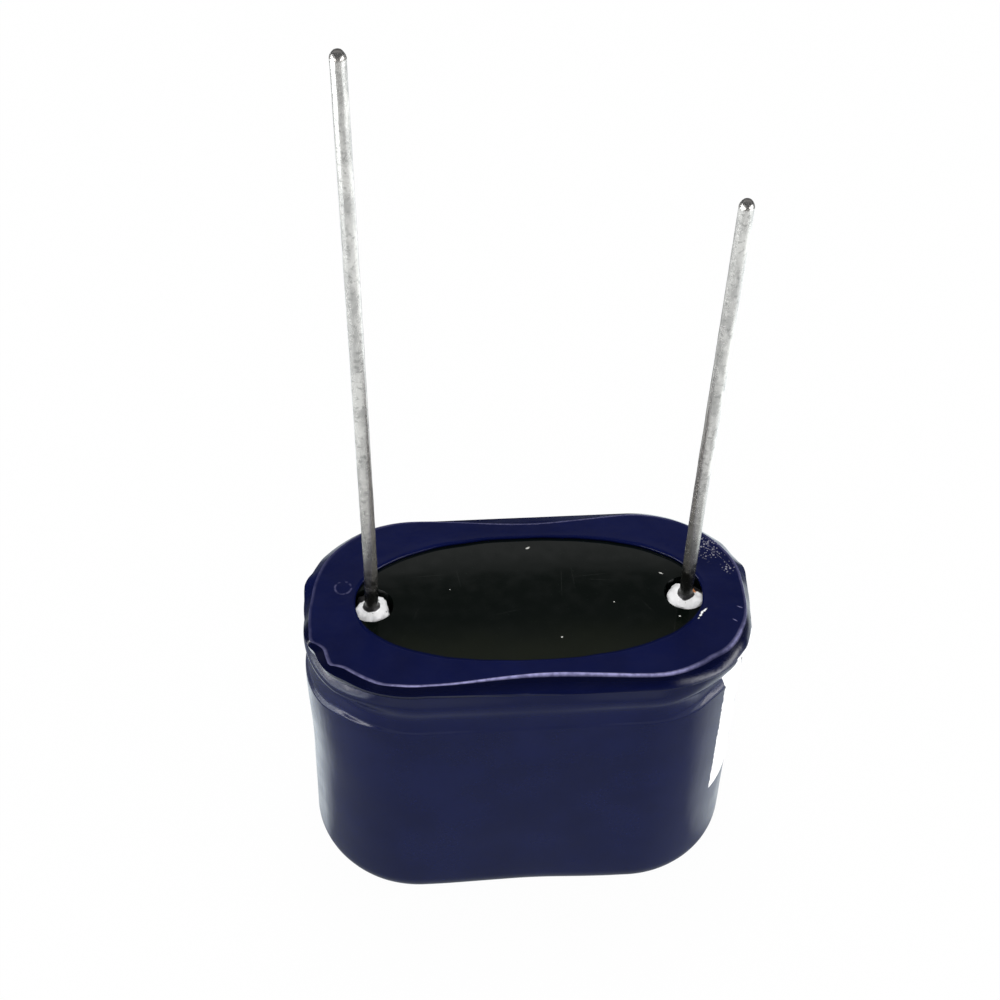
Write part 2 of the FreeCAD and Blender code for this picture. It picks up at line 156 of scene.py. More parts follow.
class Workpiece:
    """A new mesh on the bench: a ring that is shaped in edit mode and then finished."""

    def __init__(self, name: str, sides: int, radius: float = MM, fill: str = "NOTHING") -> None:
        """Adds the ring with nothing else selected, and goes into edit mode.

        Args:
            name: the piece's name.
            sides: the number of vertices in the ring.
            radius: the ring's radius in metres.
            fill: what closes the ring, NOTHING or NGON.
        """
        bpy.ops.object.select_all(action="DESELECT")
        bpy.ops.mesh.primitive_circle_add(vertices=sides, radius=radius, fill_type=fill)
        self.object = bpy.context.active_object
        self.object.name = self.object.data.name = name
        bpy.ops.object.transform_apply(location=True, rotation=True, scale=True)
        bpy.ops.object.mode_set(mode="EDIT")
        bpy.ops.mesh.select_mode(type="VERT")

    def mesh(self) -> bmesh.types.BMesh:
        """Gives the mesh under edit."""
        return bmesh.from_edit_mesh(self.object.data)

    def loft(self, places: Iterable[Place], capped: bool) -> None:
        """Numbers the ring's vertices, and extrudes it through a row of rings.

        Args:
            places: for each ring, what gives a numbered vertex its place.
            capped: whether the first and the last ring are closed with a face.
        """
        shape = self.mesh()
        turn = shape.verts.layers.int.new(RING_LAYER)
        for index, vertex in enumerate(shape.verts):
            vertex[turn] = index
        bmesh.update_edit_mesh(self.object.data)
        for count, place in enumerate(places):
            if count:
                bpy.ops.mesh.extrude_edges_move()
            elif capped:
                bpy.ops.mesh.edge_face_add()
            shape = self.mesh()
            turn = shape.verts.layers.int[RING_LAYER]
            for vertex in shape.verts:
                if vertex.select:
                    vertex.co = place(vertex[turn]) * MM
            bmesh.update_edit_mesh(self.object.data)
        if capped:
            bpy.ops.mesh.edge_face_add()

    def paint(self, layer: str, value: Callable[[int, Vector], float]) -> None:
        """Writes a number on every vertex, for a finish to read.

        Args:
            layer: the name of the numbers.
            value: gives the number, from the vertex's index and place.
        """
        shape = self.mesh()
        numbers = shape.verts.layers.float.new(layer)
        shape.verts.ensure_lookup_table()
        for vertex in shape.verts:
            vertex[numbers] = value(vertex.index, vertex.co / MM)
        bmesh.update_edit_mesh(self.object.data)

    def finish(self, angle: float = 30.0) -> Object:
        """Turns the faces outwards, leaves edit mode and smooths all edges softer than an angle.

        Args:
            angle: the sharpest edge that is shaded smooth, in degrees.

        Returns:
            The finished object.
        """
        bpy.ops.mesh.select_all(action="SELECT")
        bpy.ops.mesh.normals_make_consistent(inside=False)
        bpy.ops.object.mode_set(mode="OBJECT")
        bpy.ops.object.shade_smooth_by_angle(angle=math.radians(angle))
        numbers = self.object.data.attributes.get(RING_LAYER)
        if numbers is not None:
            self.object.data.attributes.remove(numbers)
        return self.object


class NodeBoard:
    """The nodes of a material or a surround, with short ways to add and join them."""

    def __init__(self, owner: bpy.types.Material | bpy.types.World, kind: str = "Material") -> None:
        """Clears the owner's nodes and leaves it only an output.

        Args:
            owner: the material or world that the nodes belong to.
            kind: the kind of output, Material or World.
        """
        self.owner = owner
        owner.use_nodes = True
        self.tree = owner.node_tree
        self.tree.nodes.clear()
        self.output = self.tree.nodes.new("ShaderNodeOutput" + kind)

    @classmethod
    def material(cls, name: str) -> "NodeBoard":
        """Starts the board of a new material."""
        return cls(bpy.data.materials.new(name))

    def add(self, kind: str, inputs: dict[Any, Any], **settings: Any) -> bpy.types.Node:
        """Adds a node.

        Args:
            kind: the node's type, without its usual prefix.
            inputs: a number, a colour or another node's output for each named socket.
            settings: the node's properties.

        Returns:
            The new node.
        """
        node = self.tree.nodes.new("ShaderNode" + kind)
        for key, value in settings.items():
            setattr(node, key, value)
        for socket, value in inputs.items():
            if isinstance(value, Socket):
                self.tree.links.new(value, node.inputs[socket])
            else:
                node.inputs[socket].default_value = value
        return node

    def millimetres(self, stretch: Triple = (1.0, 1.0, 1.0)) -> Socket:
        """Gives the object's own coordinates in millimetres, stretched along its axes."""
        inputs = {"Vector": self.add("TexCoord", {}).outputs["Object"], "Scale": tuple(axis / MM for axis in stretch)}
        return self.add("Mapping", inputs).outputs[0]

    def axes(self, vector: Socket) -> tuple[Socket, ...]:
        """Gives the three parts of a vector."""
        return tuple(self.add("SeparateXYZ", {"Vector": vector}).outputs)

    def painted(self, layer: str) -> Socket:
        """Reads the numbers that were written on the piece's vertices."""
        return self.add("Attribute", {}, attribute_name=layer, attribute_type="GEOMETRY").outputs["Fac"]

    def reckon(self, operation: str, first: Any, second: Any = 0.0) -> Socket:
        """Gives the result of an operation on one or two values."""
        return self.add("Math", {0: first, 1: second}, operation=operation).outputs[0]

    def times(self, *values: Any) -> Socket:
        """Multiplies the values."""
        return reduce(partial(self.reckon, "MULTIPLY"), values)

    def plus(self, *values: Any) -> Socket:
        """Adds up the values."""
        return reduce(partial(self.reckon, "ADD"), values)

    def most(self, *values: Any) -> Socket:
        """Gives the largest of the values."""
        return reduce(partial(self.reckon, "MAXIMUM"), values)

    def less(self, first: Any, second: Any) -> Socket:
        """Takes the second value from the first."""
        return self.reckon("SUBTRACT", first, second)

    def cloud(self, vector: Socket, scale: float, detail: float = 2.0, warp: float = 0.0) -> Socket:
        """Gives a noise from 0 to 1, with a number of waves to the millimetre, of finer layers and a twist."""
        inputs = {"Vector": vector, "Scale": scale, "Detail": detail, "Distortion": warp}
        return self.add("TexNoise", inputs).outputs[0]

    def wander(self, vector: Socket, scale: float, detail: float, width: float) -> Socket:
        """Gives a noise about 0, of the given width."""
        return self.times(self.less(self.cloud(vector, scale, detail), 0.5), width)

    def ease(self, value: Any, start: float, end: float, low: float = 0.0, high: float = 1.0) -> Socket:
        """Gives low where a value is under start, high where it is over end, and a soft step between.

        Args:
            value: the value to read.
            start: where the step begins, which may be over its end.
            end: where the step ends.
            low: the result on the step's start side.
            high: the result on its end side.

        Returns:
            The step's output.
        """
        if start > end:
            start, end, low, high = end, start, high, low
        inputs = {"Value": value, "From Min": start, "From Max": end, "To Min": low, "To Max": high}
        return self.add("MapRange", inputs, interpolation_type="SMOOTHSTEP").outputs[0]

    def within(self, value: Any, rise: Span, fall: Span) -> Socket:
        """Gives 1 between a rise and a fall, and 0 outside them."""
        return self.times(self.ease(value, *rise), self.ease(value, *fall, 1.0, 0.0))

    def under(self, value: Any, edge: float, margin: float) -> Socket:
        """Gives 1 under an edge and 0 over it, with a soft margin to each side."""
        return self.ease(value, edge + margin, edge - margin)

    def patches(self, vector: Socket, scale: float, detail: float, rise: Span, ends: Span = (0.0, 1.0)) -> Socket:
        """Gives soft patches of a noise, which goes between the two ends over a rise."""
        return self.ease(self.cloud(vector, scale, detail), *rise, *ends)

    def tint(self, share: Any, first: Any, second: Any) -> Socket:
        """Mixes two colours by a share of the second."""
        return self.add("Mix", {0: share, 6: first, 7: second}, data_type="RGBA").outputs[2]

    def apart(self, vector: Socket, spot: Triple) -> Socket:
        """Gives the distance from a spot."""
        return self.add("VectorMath", {0: vector, 1: spot}, operation="DISTANCE").outputs["Value"]

    def near(self, vector: Socket, spot: Triple, core: float, reach: float) -> Socket:
        """Gives 1 within core of a spot, fading to 0 at its reach."""
        return self.ease(self.apart(vector, spot), reach, core)

    def specks(self, vector: Socket, scale: float, radius: float, share: float) -> Socket:
        """Gives scattered small spots.

        Args:
            vector: where to read them.
            scale: how many places for a spot there are in a millimetre.
            radius: a spot's radius.
            share: the part of the places that hold a spot.

        Returns:
            1 in a spot and 0 elsewhere.
        """
        cells = self.add("TexVoronoi", {"Vector": vector, "Scale": scale})
        size = radius * scale
        spots = self.ease(cells.outputs["Distance"], size, size * 0.6)
        chance = self.axes(cells.outputs["Color"])[0]
        return self.times(spots, self.ease(chance, 1.0 - share, 1.0 - share + 0.02))

    def ovals(self, marks: tuple[Oval, ...], level: float, ragged: Any) -> Socket:
        """Draws thin oval marks on a level face.

        Args:
            marks: each mark's place, half length, half width and the degrees that it is turned.
            level: the face's height.
            ragged: a small wander of the marks' edges.

        Returns:
            1 on a mark and 0 elsewhere.
        """
        place = self.add("TexCoord", {}).outputs["Object"]
        drawn = []
        for x, y, half_length, half_width, turn in marks:
            settings = {"Vector": place, "Location": (x * MM, y * MM, level * MM),
                        "Rotation": (0.0, 0.0, math.radians(turn)),
                        "Scale": (half_length * MM, half_width * MM, MM)}
            local = self.add("Mapping", settings, vector_type="TEXTURE").outputs[0]
            away = self.add("VectorMath", {0: local}, operation="LENGTH").outputs["Value"]
            drawn.append(self.ease(self.plus(away, ragged), 1.0, 0.35))
        return self.most(*drawn)

    def bump(self, height: Any, depth: float, under: Any = None) -> Socket:
        """Gives a normal from a height, whose full range is depth millimetres, over the bump under it."""
        inputs = {"Height": height, "Distance": depth * MM, "Strength": 1.0}
        return self.add("Bump", inputs if under is None else inputs | {"Normal": under}).outputs[0]

    def shiny(self, plain: Socket, glossy: Socket) -> Socket:
        """Shows one shader to most rays, and another to glossy and transmitted ones."""
        paths = self.add("LightPath", {}).outputs
        return self.add("MixShader", {0: self.most(paths["Is Glossy Ray"], paths["Is Transmission Ray"]),
                                      1: plain, 2: glossy}).outputs[0]

    def show(self, shader: Socket) -> bpy.types.Material | bpy.types.World:
        """Joins a finished shader to the output, and gives back the board's owner."""
        self.tree.links.new(shader, self.output.inputs["Surface"])
        return self.owner

    def surface(self, **inputs: Any) -> Material:
        """Closes the board with a principled surface, whose sockets are named with underscores for spaces."""
        named = {socket.replace("_", " "): value for socket, value in inputs.items()}
        return self.show(self.add("BsdfPrincipled", named).outputs[0])


@dataclass(frozen=True)
class FilmFinish:
    """Navy heat-shrunk film, half glossy, with a white stripe printed down the negative end."""

    name: str = "film_navy"
    deep: Colour = (0.0016, 0.0036, 0.034, 1.0)
    pale: Colour = (0.0024, 0.005, 0.043, 1.0)
    # painted shade: darkens the lip's bevel under the crease and the wall just under the lip, in front
    folded: Colour = (0.0009, 0.0018, 0.015, 1.0)
    # rubbed wear, and also the painted highlight along the crease
    worn_and_highlight: Colour = (0.33, 0.32, 0.58, 1.0)
    grit: Colour = (0.38, 0.37, 0.43, 1.0)
    ink: Colour = (0.98, 0.985, 0.985, 1.0)
    stripe_half_angle: float = math.radians(42.0)
    stripe_bottom: float = 4.6
    stripe_top: float = 12.9
    mark_first: float = 6.2
    mark_pitch: float = 2.3
    mark_half_height: float = 0.32
    mark_half_angle: float = 0.36
    margin: float = 0.02
    margin_angle: float = 0.006
    top_margin: float = 0.03
    stain: Triple = (-6.82, 0.78, RIM_LEVEL)
    stain_radius: float = 0.3
    scuffed: tuple[tuple[Triple, float, float], ...] = (
        ((6.95, 2.05, RIM_LEVEL), 0.1, 1.1), ((7.6, 1.05, RIM_LEVEL), 0.05, 0.6),
    )
    nicks: tuple[Oval, ...] = ((6.2, -1.16, 0.26, 0.045, 58), (6.38, -0.96, 0.14, 0.05, 40))
    scuffs: tuple[Oval, ...] = (
        (6.66, 2.4, 0.22, 0.016, -32), (6.84, 2.26, 0.34, 0.018, -40), (6.88, 2.02, 0.2, 0.014, -36),
        (7.04, 2.08, 0.28, 0.016, -44), (7.08, 1.84, 0.24, 0.016, -50), (7.24, 1.8, 0.18, 0.014, -47),
        (7.3, 1.58, 0.26, 0.016, -55), (7.56, 1.14, 0.22, 0.014, -66),
    )
    ticks: tuple[Oval, ...] = ((7.67, -0.89, 0.15, 0.03, -28), (7.4, -1.5, 0.13, 0.03, -38))
    rim: float = 13.35
    roughness: Span = (0.17, 0.26)
    specular: float = 0.24

    def stripe(self, board: NodeBoard, place: Socket) -> Socket:
        """Draws the polarity stripe with its minus marks.

        Args:
            board: the film's nodes.
            place: coordinates in millimetres.

        Returns:
            1 on the ink and 0 on bare film.
        """
        x, y, z = board.axes(place)
        ragged = board.wander(place, 5.0, 3.0, 0.05)
        angle = board.reckon("ARCTAN2", y, board.less(x, CELL_AXIS))
        swing = board.plus(board.reckon("ABSOLUTE", angle), ragged)
        level = board.plus(z, ragged)
        band = board.times(board.under(swing, self.stripe_half_angle, self.margin_angle),
                           board.ease(level, self.stripe_bottom - self.margin, self.stripe_bottom + self.margin),
                           board.under(z, self.stripe_top, self.top_margin))
        row = board.reckon("PINGPONG", board.less(level, self.mark_first), self.mark_pitch / 2.0)
        mark = board.times(board.under(row, self.mark_half_height, self.margin),
                           board.under(swing, self.mark_half_angle, self.margin_angle))
        pinholes = board.patches(place, 11.0, 2.0, (0.74, 0.77))
        return board.times(band, board.less(1.0, mark), board.less(1.0, pinholes))

    def wear_and_highlight(self, board: NodeBoard, place: Socket) -> Socket:
        """Draws the rubbed crease, which also stands for a painted highlight along it, a faint ring stain and two
        short ticks on the rim.

        Args:
            board: the film's nodes.
            place: coordinates in millimetres.

        Returns:
            1 where the film is rubbed pale or painted with the crease's highlight, and 0 where it is whole.
        """
        rubbed = board.times(board.painted("crease"), board.patches(place, 4.4, 5.0, (0.3, 0.68), (0.55, 1.0)))
        off = board.reckon("ABSOLUTE", board.less(board.apart(place, self.stain), self.stain_radius))
        ring = board.times(board.ease(off, 0.06, 0.0, 0.0, 0.16), board.patches(place, 3.0, 2.0, (0.42, 0.6)))
        return board.most(rubbed, ring, board.times(board.ovals(self.ticks, self.rim, 0.0), 0.4))

    def make(self) -> Material:
        """Makes the film's material.

        Returns:
            The finished material.
        """
        board = NodeBoard.material(self.name)
        place = board.millimetres()
        colour = board.tint(board.patches(place, 0.45, 4.0, (0.3, 0.7)), self.deep, self.pale)
        # painted shade on the lip's bevel and on the wall under the lip
        colour = board.tint(board.painted("painted_shade"), colour, self.folded)
        wear_and_highlight = self.wear_and_highlight(board, place)
        # wear, with a painted highlight along the crease
        colour = board.tint(wear_and_highlight, colour, self.worn_and_highlight)
        ragged = board.wander(place, 8.0, 4.0, 3.0)
        grit = board.most(board.specks(place, 6.0, 0.05, 0.7), board.specks(place, 11.0, 0.03, 0.8))
        worst = board.plus(board.most(*(board.near(place, *area) for area in self.scuffed)),
                           board.cloud(place, 2.6, 3.0))
        scuff = board.most(board.times(grit, board.ease(worst, 0.8, 1.3, 0.0, 0.55)),
                           board.times(board.ovals(self.scuffs, self.rim, ragged), 0.32))
        colour = board.tint(board.most(scuff, board.specks(place, 0.7, 0.035, 0.22)), colour, self.grit)
        ink = board.most(self.stripe(board, place), board.ovals(self.nicks, self.rim, ragged))
        colour = board.tint(ink, colour, self.ink)
        marked = board.most(wear_and_highlight, scuff, ink)
        gloss = board.plus(board.patches(place, 1.1, 4.0, (0.25, 0.75), self.roughness), board.times(marked, 0.15))
        normal = board.bump(board.cloud(board.millimetres((1.6, 1.6, 0.35)), 1.0, 3.0), 0.016)
        normal = board.bump(board.cloud(place, 7.0, 3.0), 0.0022, normal)
        normal = board.bump(marked, 0.004, normal)
        return board.surface(Base_Color=colour, Roughness=gloss, Specular_IOR_Level=self.specular, Normal=normal)


@dataclass(frozen=True)
class PlateFinish:
    """Glossy black board, a little olive at the front, with a few straight scratches and grains of dust."""

    name: str = "board_black"
    black: Colour = (0.0022, 0.0036, 0.003, 1.0)
    olive: Colour = (0.0052, 0.007, 0.0034, 1.0)
    scratch: Colour = (0.0105, 0.0122, 0.0112, 1.0)
    dust: Colour = (0.7, 0.7, 0.66, 1.0)
    grains: tuple[Oval, ...] = (
        (0.15, 2.5, 0.12, 0.06, 20), (5, 1, 0.1, 0.03, -25), (5.43, -1.11, 0.05, 0.04, 0),
        (1.02, -1.86, 0.05, 0.04, 40), (-2.9, 0.6, 0.03, 0.03, 0), (3.1, -0.3, 0.03, 0.03, 0),
    )
    scratches: tuple[Oval, ...] = (
        (2.4, 1.05, 0.75, 0.02, 4), (2.7, 0.8, 0.6, 0.016, -6), (1.25, 0.75, 0.9, 0.016, 86),
        (1.7, 0.95, 0.7, 0.014, 93), (4.3, -0.55, 0.45, 0.016, -58), (-3.6, 1.3, 0.8, 0.016, 3),
        (-2.55, 1.15, 0.6, 0.014, 98), (-0.9, -0.6, 0.7, 0.014, 12), (-4.2, -0.5, 0.45, 0.014, 70),
    )
    top: float = 13.22
    roughness: Span = (0.04, 0.08)
    specular: float = 0.6

    def make(self) -> Material:
        """Makes the plate's material.

        Returns:
            The finished material.
        """
        board = NodeBoard.material(self.name)
        place = board.millimetres()
        depth = board.plus(board.axes(place)[1], board.times(board.cloud(place, 0.5, 5.0), 1.6))
        colour = board.tint(board.ease(depth, -2.2, 0.2), self.olive, self.black)
        ragged = board.wander(place, 9.0, 2.0, 1.4)
        colour = board.tint(board.ovals(self.scratches, self.top, ragged), colour, self.scratch)
        dust = board.most(board.ovals(self.grains, self.top, ragged), board.specks(place, 1.1, 0.02, 0.1))
        colour = board.tint(dust, colour, self.dust)
        rough = board.plus(board.patches(place, 1.6, 4.0, (0.3, 0.75), self.roughness), board.times(dust, 0.3))
        normal = board.bump(dust, 0.004, board.bump(board.cloud(place, 0.6, 2.0), 0.0012))
        return board.surface(Base_Color=colour, Roughness=rough, Specular_IOR_Level=self.specular, Normal=normal)


@dataclass(frozen=True)
class TinFinish:
    """Mottled tin on wire, darker towards the foot and dark on the cut end."""

    name: str = "tin_dull"
    bright: Colour = (0.72, 0.68, 0.64, 1.0)
    dull: Colour = (0.5, 0.475, 0.45, 1.0)
    tarnish: Colour = (0.2, 0.2, 0.185, 1.0)
    darkest_foot: Colour = (0.014, 0.015, 0.013, 1.0)
    core: Colour = (0.3, 0.295, 0.29, 1.0)
    grey_foot: Span = (16.3, 19.9)
    black_foot: Span = (15.6, 16.8)
    metallic: float = 0.8
    roughness: Span = (0.3, 0.2)

    def make(self) -> Material:
        """Makes the leads' material.

        Returns:
            The finished material.
        """
        board = NodeBoard.material(self.name)
        place = board.millimetres()
        along = board.cloud(board.millimetres((2.4, 2.4, 1.0)), 1.0, 4.0, 0.4)
        colour = board.tint(board.ease(along, 0.34, 0.62), self.dull, self.bright)
        colour = board.tint(board.patches(place, 6.5, 3.0, (0.54, 0.68), (0.0, 0.45)), colour, self.tarnish)
        level = board.plus(board.axes(place)[2], board.times(board.cloud(place, 3.0, 4.0), 2.8))
        # greyer and then near black towards the foot
        colour = board.tint(board.ease(level, *self.grey_foot, 0.75, 0.0), colour, self.tarnish)
        colour = board.tint(board.ease(level, *self.black_foot, 0.97, 0.0), colour, self.darkest_foot)
        colour = board.tint(board.painted("cut"), colour, self.core)
        rough = board.ease(along, 0.3, 0.7, *self.roughness)
        normal = board.bump(board.cloud(place, 4.5, 4.0), 0.007)
        return board.surface(Base_Color=colour, Metallic=self.metallic, Roughness=rough, Normal=normal)


@dataclass(frozen=True)
class StubFinish:
    """Bright aluminium stubs with soot round the weld, painted shadow at the outer back, small pits and a bare copper
    grain.
    """

    name: str = "aluminium_bright"
    clean: Colour = (0.98, 0.98, 0.985, 1.0)
    grey: Colour = (0.7, 0.7, 0.72, 1.0)
    # soot round the weld, also used for the painted shadow at the outer back
    soot: Colour = (0.016, 0.0155, 0.0165, 1.0)
    copper: Colour = (0.85, 0.33, 0.1, 1.0)
    copper_spot: Triple = (6.13, 0.16, 13.15)
    copper_size: Span = (0.09, 0.13)
    roughness: Span = (0.38, 0.55)

    def make(self) -> Material:
        """Makes the stubs' material.

        Returns:
            The finished material.
        """
        board = NodeBoard.material(self.name)
        place = board.millimetres()
        colour = board.tint(board.patches(place, 2.2, 4.0, (0.58, 0.8)), self.clean, self.grey)
        # soot round the weld, and painted shadow of the film's rim on the post's outer back
        soot = board.ease(board.plus(board.painted("weld"), board.wander(place, 3.4, 3.0, 0.9)), 0.55, 0.75)
        pits = board.times(board.specks(place, 4.0, 0.045, 0.3), 0.6)
        colour = board.tint(board.most(soot, pits), colour, self.soot)
        colour = board.tint(board.near(place, self.copper_spot, *self.copper_size), colour, self.copper)
        rough = board.patches(place, 3.0, 3.0, (0.3, 0.7), self.roughness)
        normal = board.bump(board.cloud(place, 3.2, 3.0), 0.04)
        return board.surface(Base_Color=colour, Roughness=rough, Normal=normal)


@dataclass(frozen=True)
class CanFinish:
    """Drawn aluminium of the cans, with faint upright draw lines."""

    name: str = "aluminium_drawn"
    light: Colour = (0.78, 0.785, 0.8, 1.0)
    shade: Colour = (0.6, 0.605, 0.62, 1.0)
    roughness: Span = (0.28, 0.42)

    def make(self) -> Material:
        """Makes the cans' material.

        Returns:
            The finished material.
        """
        board = NodeBoard.material(self.name)
        lines = board.cloud(board.millimetres((6.0, 6.0, 0.3)), 1.0, 3.0)
        colour = board.tint(board.ease(lines, 0.3, 0.7), self.shade, self.light)
        rough = board.patches(board.millimetres(), 1.2, 3.0, (0.3, 0.7), self.roughness)
        return board.surface(Base_Color=colour, Metallic=1.0, Roughness=rough, Normal=board.bump(lines, 0.004))


@dataclass(frozen=True)
class RubberFinish:
    """Dull black rubber of the bungs."""

    name: str = "rubber_black"
    dark: Colour = (0.012, 0.012, 0.0125, 1.0)
    bloom: Colour = (0.03, 0.03, 0.031, 1.0)
    roughness: Span = (0.55, 0.75)

    def make(self) -> Material:
        """Makes the bungs' material.

        Returns:
            The finished material.
        """
        board = NodeBoard.material(self.name)
        place = board.millimetres()
        bloom = board.patches(place, 1.8, 5.0, (0.4, 0.75))
        colour = board.tint(bloom, self.dark, self.bloom)
        rough = board.ease(bloom, 0.0, 1.0, *self.roughness)
        return board.surface(Base_Color=colour, Roughness=rough, Normal=board.bump(board.cloud(place, 9.0), 0.01))


class Cover:
    """A finer piece that takes the place of a packed one."""

    def dress(self, piece: Object, finish: Material) -> None:
        """Gives the piece its finish and lets it ride on the module."""
        piece.data.materials.append(finish)
        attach(piece, "root")


@dataclass
class ShrinkSleeve(Cover):
    """The film: one skin over cells and plate, drawn in at the bead, lipped over the plate and folded under.

    Levels give the top of each stretch of the wall and its rings. Pulls draw the wall in and swells push it out, by
    height. Tilts and drops move its folds up or down, by x. The lip and crease tables give distances from the cell
    axis, by the degrees from that end's tip, front first. A lip's shape lists its share of the way from edge to
    crease, its inset, its height and how much painted shade it gets. Turns are parts of the outward direction, over
    which a form comes in. A ripple has a depth and a number of waves to the millimetre.
    """

    radius: float = 4.14
    thickness: float = 0.12
    foot: float = 1.19
    base_radius: float = 2.6
    neck: float = 12.8
    levels: tuple[tuple[float, int], ...] = ((9.6, 12), (10.34, 6), (10.86, 24), (12.2, 18), (12.8, 15))
    pulls: Table = (
        (9.9, 0), (10.4, 0), (10.44, 0.012), (10.5, 0.052), (10.56, 0.094), (10.61, 0.112), (10.74, 0.13),
        (10.92, 0.158), (11.08, 0.185), (11.24, 0.195), (11.4, 0.182), (11.6, 0.14), (11.8, 0.08),
        (12, 0.024), (12.12, 0), (12.2, 0.004), (12.28, 0.022), (12.36, 0.06), (12.46, 0.124), (12.56, 0.192),
        (12.66, 0.26), (12.76, 0.322), (12.8, 0.344),
    )
    right_pulls: Table = (
        (9.9, 0), (10.38, 0), (10.46, 0.03), (10.54, 0.085), (10.62, 0.14), (10.7, 0.185), (10.8, 0.215),
        (11, 0.225), (11.4, 0.19), (11.8, 0.11), (12.2, 0.04), (12.8, 0),
    )
    left_swell: Table = (
        (5.6, 0), (7.4, 0.06), (9, 0.13), (10.3, 0.16), (10.42, 0.16), (10.56, 0.13), (10.9, 0.095),
        (11.3, 0.07), (11.8, 0.12), (12.2, 0.17), (12.6, 0.15), (12.8, 0.13),
    )
    tilts: Table = (
        (-8.3, -0.4), (-7.8, -0.2), (-6.9, 0.2), (-4, 0.28), (4, 0.35), (6, 0.42), (6.6, 0.6), (8.3, 0.6),
    )
    tilt_levels: Band = ((6.0, 9.9), (11.2, 12.1))
    drops: Table = ((-8.3, -0.36), (-7.4, -0.3), (-6.8, -0.14), (-6, 0), (8.3, 0))
    drop_levels: Band = ((11.3, 12.0), (12.55, 12.8))
    round_reach: Span = (-5.5, 2.0)
    round_turn: Span = (-0.3, 0.4)
    right_turn: Span = (0.0, 0.5)
    side_share: float = 0.26
    side_turn: Span = (0.15, 0.75)
    swell_turn: Span = (0.3, 0.95)
    flare: float = 0.06
    flare_levels: Span = (10.8, 12.6)
    waist: float = 0.06
    waist_reach: float = 3.6
    waist_hold: float = 0.6
    waist_levels: Span = (0.0, 6.0)
    arch: float = 0.05
    arch_levels: Span = (0.2, 5.0)
    tuck: float = 0.03
    tuck_level: float = 11.7
    ripple: Span = (0.014, 0.55)
    ripple_levels: Span = (0.0, 1.0)
    lip_left: Table = (
        (-90, 4.2), (-70, 4.3), (-60, 4.36), (-52, 4.42), (-46, 4.49), (-40, 4.56), (-34, 4.49),
        (-28, 4.4), (-23.4, 4.46), (-17.6, 4.42), (-14, 4.36), (-5, 4.23), (5, 4.23), (12.6, 4.31),
        (16.4, 4.35), (20.5, 4.33), (25, 4.26), (29, 4.26), (34, 4.27), (40, 4.24), (55, 4.19),
        (72, 4.17), (90, 4.12),
    )
    lip_right: Table = (
        (-90, 4.2), (-70, 4.26), (-52, 4.39), (-41, 4.45), (-34, 4.45), (-27, 4.37), (-20, 4.29),
        (-14.8, 4.21), (-8, 4.14), (1, 4.13), (5.3, 4.15), (9.3, 4.19), (13.2, 4.26), (17.2, 4.3), (22, 4.23),
        (27, 4.2), (31, 4.22), (35.6, 4.24), (42, 4.2), (60, 4.17), (90, 4.18),
    )
    crease_left: Table = (
        (-90, 3.93), (-77, 3.98), (-65.7, 4.08), (-54, 4.07), (-46.9, 4.09), (-42, 4.24), (-39.9, 4.35),
        (-35.6, 4.24), (-30, 4.1), (-25.5, 4.21), (-23, 4.34), (-16, 4.2), (-4, 4.03), (7, 3.93),
        (20, 3.94), (35, 3.98), (60, 3.96), (90, 3.93),
    )
    crease_right: Table = (
        (-90, 3.86), (-76, 3.89), (-63, 3.88), (-55, 3.88), (-48, 3.97), (-42, 4.04), (-34, 4.04),
        (-28, 4.02), (-21, 4.02), (-12.5, 3.97), (-1.3, 3.9), (5, 3.9), (12, 3.95), (22, 3.98),
        (40, 3.96), (60, 3.94), (90, 3.92),
    )
    # the last number of each lip shape is how much painted shade that ring gets
    sharp_lip: tuple[Shape, ...] = (
        (0, 0.12, 12.815, 0.4), (0, 0.08, 12.89, 0.5), (0, 0.04, 12.98, 0.6), (0, 0, 13.1, 0.8),
        (0.12, 0, 13.13, 0.9), (0.24, 0, 13.16, 1), (0.38, 0, 13.195, 1), (0.52, 0, 13.23, 1),
        (0.66, 0, 13.265, 1), (0.8, 0, 13.3, 1), (0.9, 0, 13.328, 0.9), (0.955, 0, 13.343, 0.4),
        (1, 0, 13.352, 0),
    )
    round_lip: tuple[Shape, ...] = (
        (0, 0.01, 12.805, 0.5), (0.01, 0, 12.83, 0.5), (0.04, 0, 12.865, 0.5), (0.09, 0, 12.905, 0.5),
        (0.15, 0, 12.95, 0.5), (0.22, 0, 12.995, 0.6), (0.3, 0, 13.045, 0.7), (0.39, 0, 13.095, 0.8),
        (0.49, 0, 13.145, 0.9), (0.62, 0, 13.2, 1), (0.78, 0, 13.265, 1), (0.93, 0, 13.325, 0.6),
        (1, 0, 13.352, 0),
    )
    lip_rise: tuple[float, ...] = (0.0,) * 3 + (0.01,) * 6 + (0.005,) + (0.0,) * 3
    # how rubbed each lip ring is, which also paints the crease's highlight
    lip_rub_and_highlight: tuple[float, ...] = (0.0,) * 11 + (0.8, 1.0)
    lip_edge: float = 13.1
    lip_ripple: Span = (0.008, 0.8)
    back_turn: Span = (-0.4, 0.4)
    lift: float = 0.11
    lift_swing: Band = ((-62.0, -48.0), (-18.0, -6.0))
    front_waist: float = 0.31
    back_waist: float = 0.33
    top_waist: Span = (0.3, 4.4)
